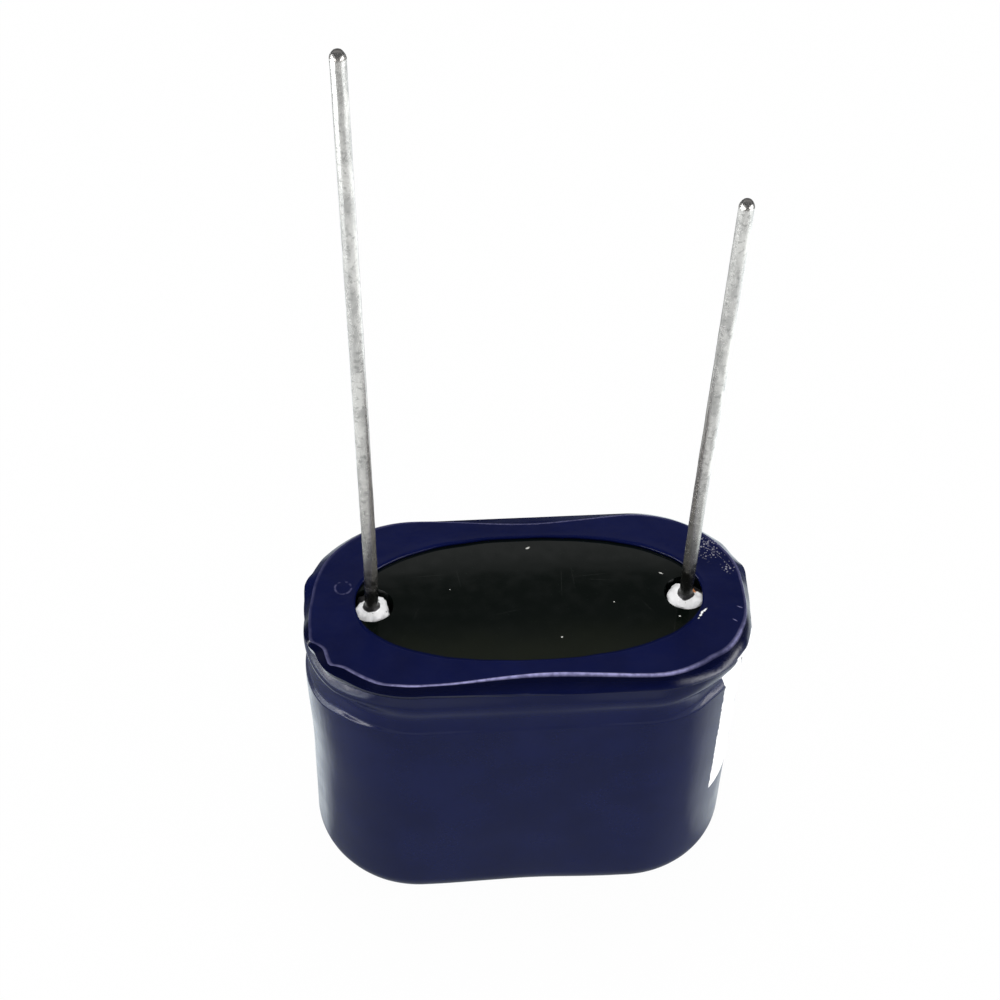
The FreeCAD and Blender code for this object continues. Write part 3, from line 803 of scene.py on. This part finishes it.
    # painted shade on the wall just under the lip, in front
    lip_shadow: float = 0.3
    lip_shadow_levels: Span = (11.9, 12.5)
    painted_shade_front: Span = (-1.5, 1.0)
    rub_front: Span = (1.2, 3.4)
    rub_back: float = 0.25
    rub_left: float = 0.5
    rub_left_end: Span = (-6.2, -4.2)
    rub_right: float = 0.25
    rub_right_end: Band = ((4.6, 6.2), (6.6, 7.6))
    opening_length: float = 6.4
    opening_width: float = 2.97
    opening_power: float = 2.2
    opening_ripple: Span = (0.03, 1.1)
    opening_bead: float = 0.016
    bead_shares: Span = (0.8, 1.0)
    rim_ripple: Span = (0.006, 0.9)
    rim_start: Table = ((0.03, 0.6), (0.06, 0.0))
    rim_steps: int = 12
    base_steps: int = 4
    foot_steps: int = 12
    arc_steps: int = 120
    side_steps: int = 40
    smooth_angle: float = 32.0

    def steps(self) -> int:
        """Gives the number of vertices in a ring."""
        return 2 * (self.arc_steps + self.side_steps)

    def bearing(self, index: int) -> tuple[float, Vector]:
        """Finds a vertex's anchor on the long axis and its outward direction, counted from the front of +X."""
        half, step = divmod(index, self.arc_steps + self.side_steps)
        return (CELL_AXIS * (1.0 - 2.0 * half) * (1.0 - 2.0 * max(step - self.arc_steps, 0) / self.side_steps),
                spoke(math.pi * (half + min(step, self.arc_steps) / self.arc_steps - 0.5)))

    def softness(self, anchor: float, out: Vector) -> float:
        """Tells how round the lip is: sharp at the positive end and the back, rounded at the negative front."""
        return smooth(anchor + out.x * self.radius, *self.round_reach) * smooth(-out.y, *self.round_turn)

    def reach(self, left: Table, right: Table, anchor: float, out: Vector) -> float:
        """Reads a pair of outline tables, going over from one end's to the other's along the sides."""
        swing, share = math.degrees(math.atan2(out.y, abs(out.x))), (anchor / CELL_AXIS + 1.0) / 2.0
        return trace(left, swing) * (1.0 - share) + trace(right, swing) * share

    def wall_point(self, index: int, inset: float, height: float) -> Vector:
        """Places a vertex of the foot, wall, bead or neck.

        Args:
            index: the vertex's number.
            inset: how far it stands inside the straight wall, all round.
            height: its height.

        Returns:
            Its place.
        """
        anchor, out = self.bearing(index)
        middle = hump(anchor, 0.0, self.waist_reach) * abs(out.y)
        share = up_from(self.side_share, smooth(abs(out.x), *self.side_turn))
        soft = self.softness(anchor, out) * smooth(out.x, *self.right_turn)
        pull = trace(self.pulls, height) * (1.0 - soft) + trace(self.right_pulls, height) * soft
        drawn = inset + pull * share * (1.0 - self.waist_hold * middle)
        drawn -= trace(self.left_swell, height) * smooth(-out.x, *self.swell_turn)
        drawn -= self.flare * smooth(height, *self.flare_levels) * out.y ** 2
        drawn += self.waist * middle * (1.0 - smooth(height, *self.waist_levels))
        away = self.radius - drawn
        flush = soft * smooth(height, self.tuck_level, self.neck)
        if flush > 0.0:
            away += (self.reach(self.lip_left, self.lip_right, anchor, out) - self.tuck - away) * flush
        point = UP * height + out * away
        point.x += anchor
        point.z += self.arch * middle * (1.0 - smooth(height, *self.arch_levels))
        point.z += trace(self.tilts, point.x) * within(height, *self.tilt_levels)
        point.z += trace(self.drops, point.x) * within(height, *self.drop_levels)
        depth, scale = self.ripple
        return point + out * depth * smooth(height, *self.ripple_levels) * (waver(point, scale) - 1.0)

    def lip_point(self, index: int, share: float, inset: float, height: float, rise: float = 0.0) -> Vector:
        """Places a vertex of the lip.

        Args:
            index: the vertex's number.
            share: 0 at the lip's edge and 1 at the top crease, which is waisted.
            inset: how far it stands inside that outline.
            height: its height at the front.
            rise: how much higher it stands at the back.

        Returns:
            Its place.
        """
        anchor, out = self.bearing(index)
        edge = self.reach(self.lip_left, self.lip_right, anchor, out)
        crease = self.reach(self.crease_left, self.crease_right, anchor, out)
        waist = self.front_waist if out.y < 0.0 else self.back_waist
        crease -= waist * hump(anchor, *self.top_waist) * abs(out.y)
        away = edge + (crease - edge) * share - inset
        zigzag = within(math.degrees(math.atan2(out.y, -out.x)), *self.lift_swing)
        lift = self.lift * zigzag * (1.0 - share) * smooth(height, self.neck, self.lip_edge)
        point = UP * (height + lift + rise * smooth(out.y, *self.back_turn)) + out * away
        point.x += anchor
        depth, scale = self.lip_ripple
        return point + out * depth * waver(point, scale)

    def mixed_point(self, index: int, sharp: Shape, rounded: Shape, rise: float) -> Vector:
        """Places a vertex of the lip between its sharp and its rounded shape."""
        soft = self.softness(*self.bearing(index))
        return self.lip_point(index, *sharp[:3], rise).lerp(self.lip_point(index, *rounded[:3], rise), soft)

    def rim_point(self, index: int, share: float) -> Vector:
        """Places a vertex of the flat rim.

        Args:
            index: the vertex's number.
            share: 0 at the top crease and 1 at the opening's edge.

        Returns:
            Its place.
        """
        crease = self.lip_point(index, 1.0, 0.0, RIM_LEVEL)
        way = spoke(math.atan2(crease.y / self.opening_width, crease.x / self.opening_length))
        size = sum(abs(part) ** self.opening_power for part in way.xy) ** (-1.0 / self.opening_power)
        edge = Vector((self.opening_length * way.x, self.opening_width * way.y, 0.0)) * size
        depth, scale = self.opening_ripple
        edge += edge.normalized() * depth * waver(edge, scale)
        edge.z = RIM_LEVEL
        point = crease.lerp(edge, share)
        depth, scale = self.rim_ripple
        bead = self.opening_bead * smooth(share, *self.bead_shares)
        point.z = RIM_LEVEL + depth + depth * waver(point, scale) + bead
        return point

    def rings(self) -> Iterator[tuple[Place, float, Span]]:
        """Lists the rings from the base's opening to the rim's.

        Yields:
            What places the ring's vertices, how rubbed the ring is, which also paints the crease's highlight, and how
            much painted shade it gets where the lip is sharp and where it is round, on the bevel and under the lip.
        """
        plain = (0.0, 0.0)
        under = self.radius - self.foot
        for step in range(self.base_steps):
            inset = self.radius - (self.base_radius + (under - self.base_radius) * step / self.base_steps)
            yield partial(self.wall_point, inset=inset, height=0.0), 0.0, plain
        for step in range(self.foot_steps + 1):
            turn = math.pi / 2.0 * step / self.foot_steps
            inset, height = self.foot * (1.0 - math.sin(turn)), self.foot * (1.0 - math.cos(turn))
            yield partial(self.wall_point, inset=inset, height=height), 0.0, plain
        low = self.foot
        for high, count in self.levels:
            for step in range(1, count + 1):
                height = low + (high - low) * step / count
                # painted shade on the wall just under the lip
                lip_shadow = self.lip_shadow * smooth(height, *self.lip_shadow_levels)
                yield partial(self.wall_point, inset=0.0, height=height), 0.0, (lip_shadow, lip_shadow)
            low = high
        for sharp, rounded, rise, rubbed in zip(self.sharp_lip, self.round_lip, self.lip_rise, self.lip_rub_and_highlight):
            place = partial(self.mixed_point, sharp=sharp, rounded=rounded, rise=rise)
            yield place, rubbed, (sharp[3], rounded[3])
        rim_rest = ((step / self.rim_steps, 0.0) for step in range(1, self.rim_steps + 1))
        for share, rubbed in (*self.rim_start, *rim_rest):
            yield partial(self.rim_point, share=share), rubbed, plain

    def build(self) -> Object:
        """Extrudes the film ring by ring, gives it its thickness and hides the node that it takes the place of.

        Returns:
            The film.
        """
        # each ring's rubbing, which also paints the crease's highlight, and its painted shade
        places, rubs_and_highlights, folds = zip(*self.rings())
        piece = Workpiece("film_sleeve", self.steps())
        piece.loft(places, capped=False)

        def crease(index: int, place: Vector) -> float:
            """Tells how rubbed a vertex is, which also paints the crease's highlight: most in front, less at both
            ends.
            """
            left = up_from(self.rub_left, smooth(place.x, *self.rub_left_end))
            right = up_from(self.rub_right, 1.0 - within(place.x, *self.rub_right_end))
            front = up_from(self.rub_back, smooth(-place.y, *self.rub_front))
            return rubs_and_highlights[index // self.steps()] * front * left * right

        def painted_shade(index: int, place: Vector) -> float:
            """Tells how much painted shade a vertex gets, in front only."""
            (sharp, rounded), soft = folds[index // self.steps()], self.softness(*self.bearing(index % self.steps()))
            return (sharp + (rounded - sharp) * soft) * smooth(-place.y, *self.painted_shade_front)

        piece.paint("crease", crease)
        piece.paint("painted_shade", painted_shade)
        film = piece.finish(self.smooth_angle)
        skin = film.modifiers.new("solidify", "SOLIDIFY")
        skin.thickness, skin.offset, skin.use_even_offset = self.thickness * MM, -1.0, True
        bpy.ops.object.modifier_apply(modifier=skin.name)
        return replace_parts(film, "shrink_sleeve")


@dataclass
class LeadStub(Cover):
    """The top of a stub: a round aluminium post with a lumpy weld that climbs the wire's foot.

    The base lists each ring's share of the radius and its height over the foot. The crown lists the share, the height
    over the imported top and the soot. A lump has a part of the height and a number of waves to the millimetre.
    """

    polarity: Polarity
    radius: float = 0.625
    sides: int = 64
    lumps: Table = ((1, 2), (0.6, 4.6), (0.35, 9.5))
    lump_height: float = 0.11
    lump_width: float = 0.14
    lump_levels: Span = (-0.2, -0.06)
    lump_shares: Span = (0.42, 0.65)
    lump_shift: float = 0.37
    # where the painted shadow of the film's rim falls on the post's outer back
    rim_shadow_lean: float = 0.7
    rim_shadow_turn: Span = (0.45, 1.0)
    smooth_angle: float = 60.0
    base: Table = ((0.98, 0), (1, 0.03))
    crown: tuple[Triple, ...] = (
        (1, -0.3, 0), (1.03, -0.18, 0), (1.08, -0.08, 0), (1.1, 0, 0), (1.08, 0.06, 0),
        (1.02, 0.1, 0), (0.93, 0.13, 0), (0.82, 0.155, 0), (0.7, 0.18, 0.1), (0.59, 0.21, 0.3),
        (0.51, 0.25, 0.6), (0.46, 0.295, 0.9), (0.43, 0.35, 1), (0.405, 0.41, 1),
    )

    def point(self, index: int, axis: Vector, share: float, height: float, top: float) -> Vector:
        """Places a vertex of the post, with the weld's lumps.

        Args:
            index: the vertex's number.
            axis: the middle of the post, on the ground.
            share: the ring's share of the radius.
            height: the ring's height.
            top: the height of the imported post.

        Returns:
            Its place.
        """
        flat = spoke(math.tau * index / self.sides) * self.radius * share
        point = axis + flat + UP * height
        low, high = self.lump_levels
        lumpy = smooth(height, top + low, top + high) * smooth(share, *self.lump_shares)
        lumpy *= sum(part * waver(point + axis * self.lump_shift, scale) for part, scale in self.lumps)
        return point + (UP * self.lump_height + flat * self.lump_width) * lumpy

    def build(self) -> Object:
        """Raises the post from its node's foot and domes the weld on it.

        Returns:
            The stub.
        """
        node = f"{self.polarity.value}_lead_stub"
        low, high = (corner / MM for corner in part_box(node))
        axis = Vector(((low.x + high.x) / 2.0, (low.y + high.y) / 2.0, 0.0))
        outer = math.copysign(self.rim_shadow_lean, axis.x)
        rings = [(share, low.z + rise, 0.0) for share, rise in self.base]
        rings += [(share, high.z + rise, soot) for share, rise, soot in self.crown]
        piece = Workpiece(f"welded_stub_{self.polarity.value}", self.sides)
        piece.loft((partial(self.point, axis=axis, share=share, height=height, top=high.z)
                    for share, height, _ in rings), capped=True)

        def weld(index: int, place: Vector) -> float:
            """Tells how dark a vertex is: sooty round the weld, and painted shadow of the film's rim at the outer
            back.
            """
            aside = (place - axis) / self.radius
            return max(rings[index // self.sides][2], smooth(aside.y + outer * aside.x, *self.rim_shadow_turn))

        piece.paint("weld", weld)
        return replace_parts(piece.finish(self.smooth_angle), node)


@dataclass
class Lead(Cover):
    """A tinned wire that rises from its stub, leans a little and ends in a cropped tip.

    The crop lists each ring's height from the tip, its share of the radius and how dark it is. The coat lists each
    wave's depth, how far it differs across the wire and its number to the millimetre.
    """

    polarity: Polarity
    mount: dict[str, Any]
    radius: float = 0.25
    sides: int = 24
    spacing: float = 0.22
    bend_reach: float = 0.8
    bend_cut: float = 0.1
    smooth_angle: float = 50.0
    coat: tuple[Triple, ...] = ((0.025, 2, 0.9), (0.02, 4, 2.2))
    crop: tuple[Triple, ...] = (
        (-0.24, 1, 0), (-0.17, 0.96, 0.1), (-0.12, 0.86, 0.6), (-0.07, 0.75, 1), (-0.02, 0.6, 1),
        (0, 0.4, 0.8),
    )

    def route(self) -> list[Vector]:
        """Lists the centres of the wire's rings from foot to tip.

        Returns:
            The centres.
        """
        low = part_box(f"{self.polarity.value}_lead")[0] / MM
        middle, axis = Vector(self.mount["pos_m"]) / MM, Vector(self.mount["axis"])
        half = self.mount["dims"]["length_mm"] / 2.0
        bend, tip = middle - axis * half, middle + axis * half
        foot = Vector((bend.x, bend.y, low.z))
        rise, run = (bend - foot).length, (tip - bend).length
        count = round((rise + run) / self.spacing)
        centres = [foot]
        for step in range(1, count + 1):
            way = (rise + run) * step / count
            soft = math.hypot(way - rise, self.bend_reach)
            beyond = max(0.0, (way - rise + soft) / 2.0 - self.bend_cut)
            centres.append(foot + UP * (way - beyond) + axis * beyond)
        return centres

    def point(self, index: int, centre: Vector, share: float) -> Vector:
        """Places a vertex of a ring by its share of the radius, with the dip coat's unevenness."""
        flat = spoke(math.tau * index / self.sides) * self.radius * share
        return centre + flat * sum((depth * waver(centre + flat * far, scale) for depth, far, scale in self.coat), 1.0)

    def build(self) -> Object:
        """Extrudes the wire along its route and crops its tip.

        Returns:
            The lead.
        """
        *centres, tip = self.route()
        rings = [(centre, 1.0, 0.0) for centre in centres]
        rings += [(tip + UP * drop, share, dark) for drop, share, dark in self.crop]
        piece = Workpiece(f"tinned_lead_{self.polarity.value}", self.sides)
        piece.loft((partial(self.point, centre=centre, share=share) for centre, share, _ in rings), capped=True)
        piece.paint("cut", lambda index, _: rings[index // self.sides][2])
        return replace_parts(piece.finish(self.smooth_angle), f"{self.polarity.value}_lead")


@dataclass
class Cells:
    """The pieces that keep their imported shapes: cans, bungs, inner stubs, link wires and the plate."""

    nodes: dict[str, Object]

    def dress(self, finishes: dict[str, Material]) -> None:
        """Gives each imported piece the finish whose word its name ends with.

        Args:
            finishes: a material for each ending of a node's name.
        """
        for name, node in sorted(self.nodes.items()):
            for ending, finish in finishes.items():
                if name.endswith(ending):
                    node.data.materials.clear()
                    node.data.materials.append(finish)
                    LOG.info("%s wears %s", name, finish.name)


@dataclass(frozen=True)
class Side:
    """What one end shows in gloss: a glow on the near floor, a bright strip far out on it and a low card.

    Turns are in radians from straight out at that end, and grow towards the back. On the floor they are counted
    round the hub, which is given outwards and forwards from the origin.
    """

    sign: float
    hub: Span
    glow: float
    glow_turn: Span
    glow_ring: Span
    strip: float
    strip_turn: Band
    card: float
    card_turn: Band
    card_top: float


@dataclass
class Studio:
    """A pale floor, soft lamps, which are placed and sized in metres, a white surround and the camera."""

    place: Triple = (-6.277, -48.654, 70.975)
    azimuth: float = 5.917
    elevation: float = 46.949
    roll: float = -2.246
    lens: float = 74.099
    sensor: float = 36.0
    clip_metres: Span = (0.001, 20.0)
    floor_metres: float = 3.0
    floor_sides: int = 64
    floor_white: float = 0.975
    floor_matt: Colour = (0.8, 0.8, 0.8, 1.0)
    floor_tinge: Colour = (0.92, 1.0, 1.04, 1.0)
    shade: float = 0.36
    shade_ring: Span = (17.5, 22.0)
    far_white: float = 0.92
    far_dark: float = 0.25
    far_ring: Span = (42.0, 60.0)
    behind_dark: float = 0.05
    behind_depth: Span = (2.0, 6.0)
    behind_width: Span = (10.0, 6.5)
    strip_ring: Band = ((48.0, 60.0), (100.0, 140.0))
    glow_start: Span = (7.6, 9.0)
    strip_start: Span = (7.65, 9.0)
    sides: tuple[Side, ...] = (
        Side(sign=-1.0, hub=(7.7, 1.6), glow=0.95, glow_turn=(0.12, 0.82), glow_ring=(12.8, 10.8),
             strip=8.0, strip_turn=((-0.9, -0.6), (0.25, 0.5)),
             card=13.0, card_turn=((-1.15, -0.8), (0.2, 0.4)), card_top=0.25),
        Side(sign=1.0, hub=(7.0, 2.9), glow=0.65, glow_turn=(-0.7, 0.05), glow_ring=(60.0, 40.0),
             strip=4.5, strip_turn=((-1.1, -0.8), (-0.15, 0.1)),
             card=12.0, card_turn=((-1.15, -0.8), (-0.15, 0.05)), card_top=0.26),
    )
    card_fade: float = 0.1
    window_slope: float = 0.065
    window_panes: tuple[tuple[Span, float], ...] = (((0.76, 0.754), 0.3), ((0.772, 0.786), 0.1))
    window_back: Span = (0.2, 0.5)
    window_low: Span = (0.45, 0.62)
    sky_dark: float = 0.04
    sky_light: float = 0.55
    lamp_aim: Triple = (0.0, 0.0, 0.008)
    lamps: tuple[tuple[str, Triple, Span, float], ...] = (
        ("overhead", (0.0, 0.09, 0.34), (0.16, 0.12), 0.42),
        ("front_fill", (-0.04, -0.26, 0.24), (0.3, 0.2), 0.42),
        ("left_side", (-0.28, -0.03, 0.034), (0.38, 0.06), 0.45),
        ("right_side", (0.28, -0.07, 0.034), (0.26, 0.05), 0.55),
    )

    def floor_gloss(self, board: NodeBoard) -> Socket:
        """Works out how bright the floor looks in gloss: shaded before and behind the module, bright beside it.

        Args:
            board: the floor's nodes.

        Returns:
            The brightness.
        """
        x, y, _ = board.axes(board.millimetres())
        aside = board.reckon("ABSOLUTE", x)
        beyond = board.most(board.less(aside, CELL_AXIS), 0.0)
        ring = board.reckon("SQRT", board.plus(board.times(beyond, beyond), board.times(y, y)))
        behind = board.times(board.ease(y, *self.behind_depth), board.ease(aside, *self.behind_width))
        level = board.times(board.ease(ring, *self.shade_ring, self.shade, self.far_white),
                            board.ease(ring, *self.far_ring, 1.0, self.far_dark),
                            board.ease(behind, 0.0, 1.0, 1.0, self.behind_dark))
        for side in self.sides:
            width, depth = side.hub
            outward = board.times(x, side.sign)
            turn = board.reckon("ARCTAN2", board.plus(y, depth), board.less(outward, width))
            glow = board.times(board.ease(turn, *side.glow_turn), board.ease(outward, *self.glow_start),
                               board.ease(ring, *side.glow_ring), side.glow)
            strip = board.times(board.within(turn, *side.strip_turn), board.within(ring, *self.strip_ring),
                                board.ease(outward, *self.strip_start), side.strip)
            level = board.plus(level, glow, strip)
        return level

    def build_floor(self) -> None:
        """Lays a round floor, white to the camera, with its own picture in gloss, shadowed by the object."""
        floor = Workpiece("floor", self.floor_sides, self.floor_metres, "NGON").finish()
        board = NodeBoard.material("floor_pale")
        matt = board.add("BsdfDiffuse", {"Color": self.floor_matt}).outputs[0]
        white = board.add("Emission", {"Color": WHITE, "Strength": 1.0}).outputs[0]
        gloss = board.add("Emission", {"Color": self.floor_tinge, "Strength": self.floor_gloss(board)}).outputs[0]
        share = board.times(board.add("LightPath", {}).outputs["Is Camera Ray"], self.floor_white)
        mixed = board.add("MixShader", {0: share, 1: matt, 2: white}).outputs[0]
        floor.data.materials.append(board.show(board.shiny(mixed, gloss)))

    def sky_gloss(self, board: NodeBoard) -> Socket:
        """Works out how bright the surround looks in gloss: dark, with a window behind and a low card at each side.

        Args:
            board: the surround's nodes.

        Returns:
            The brightness.
        """
        across, ahead, up = board.axes(board.add("TexCoord", {}).outputs["Generated"])
        level = board.plus(up, board.times(across, self.window_slope))
        panes = board.plus(*(board.ease(level, *edge, 0.0, light) for edge, light in self.window_panes))
        window = board.times(panes, board.ease(ahead, *self.window_back), board.ease(up, *self.window_low))
        sky = board.plus(window, self.sky_dark)
        for side in self.sides:
            turn = board.reckon("ARCTAN2", ahead, board.times(across, side.sign))
            height = board.ease(up, side.card_top, side.card_top - self.card_fade, 0.0, side.card)
            sky = board.plus(sky, board.times(board.within(turn, *side.card_turn), height))
        return sky

    def build_surround(self) -> None:
        """Makes the surround: white to the camera, softer as light, dark with a window in gloss."""
        world = bpy.data.worlds.new("surround")
        bpy.context.scene.world = world
        board = NodeBoard(world, "World")
        light, gloss, plain = (board.add("Background", {"Color": WHITE, "Strength": strength}).outputs[0]
                               for strength in (self.sky_light, self.sky_gloss(board), 1.0))
        camera = board.add("LightPath", {}).outputs["Is Camera Ray"]
        board.show(board.add("MixShader", {0: camera, 1: board.shiny(light, gloss), 2: plain}).outputs[0])

    def build_lamps(self) -> None:
        """Hangs soft boxes that face the module: overhead, in front and low at each side, none seen in gloss."""
        for name, place, (width, height), watts in self.lamps:
            data = bpy.data.lights.new(name, "AREA")
            data.shape, data.size, data.size_y, data.energy = "RECTANGLE", width, height, watts
            lamp = bpy.data.objects.new(name, data)
            bpy.context.scene.collection.objects.link(lamp)
            lamp.location = place
            aim = Vector(self.lamp_aim) - Vector(place)
            lamp.rotation_euler = aim.to_track_quat("-Z", "Y").to_euler()
            lamp.visible_glossy = False

    def build_camera(self) -> None:
        """Stands the camera where the photograph was taken from."""
        data = bpy.data.cameras.new("camera")
        data.lens, data.sensor_width, (data.clip_start, data.clip_end) = self.lens, self.sensor, self.clip_metres
        camera = bpy.data.objects.new("camera", data)
        bpy.context.scene.collection.objects.link(camera)
        turn, tilt, roll = (math.radians(angle) for angle in (self.azimuth, self.elevation, self.roll))
        aim = Matrix.Rotation(-turn, 4, "Z") @ Matrix.Rotation(math.pi / 2.0 - tilt, 4, "X")
        camera.matrix_world = Matrix.Translation(Vector(self.place) * MM) @ aim @ Matrix.Rotation(-roll, 4, "Z")
        bpy.context.scene.camera = camera

    def build(self) -> None:
        """Builds the whole studio and sets the plain view transform."""
        self.build_floor()
        self.build_surround()
        self.build_lamps()
        self.build_camera()
        bpy.context.scene.view_settings.view_transform = "Standard"


def main() -> None:
    """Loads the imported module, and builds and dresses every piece."""
    logging.basicConfig(level=logging.INFO, format="%(message)s")
    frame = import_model()

    tin, stub_metal = TinFinish().make(), StubFinish().make()
    mounts = {mount["name"]: mount for mount in frame["record"]["mounts"]}
    covers = [(ShrinkSleeve(), FilmFinish().make())]
    for polarity in Polarity:
        covers += [(LeadStub(polarity), stub_metal), (Lead(polarity, mounts[f"{polarity.value}_lead"]), tin)]
    for cover, finish in covers:
        piece = cover.build()
        cover.dress(piece, finish)
        LOG.info("%s: %d faces", piece.name, len(piece.data.polygons))
    Cells(frame["nodes"]).dress({
        "_can": CanFinish().make(), "_bung": RubberFinish().make(), "_link_stub": stub_metal, "_link_wire": tin,
        "_plate": PlateFinish().make(),
    })
    Studio().build()


if __name__ == "__main__":
    main()
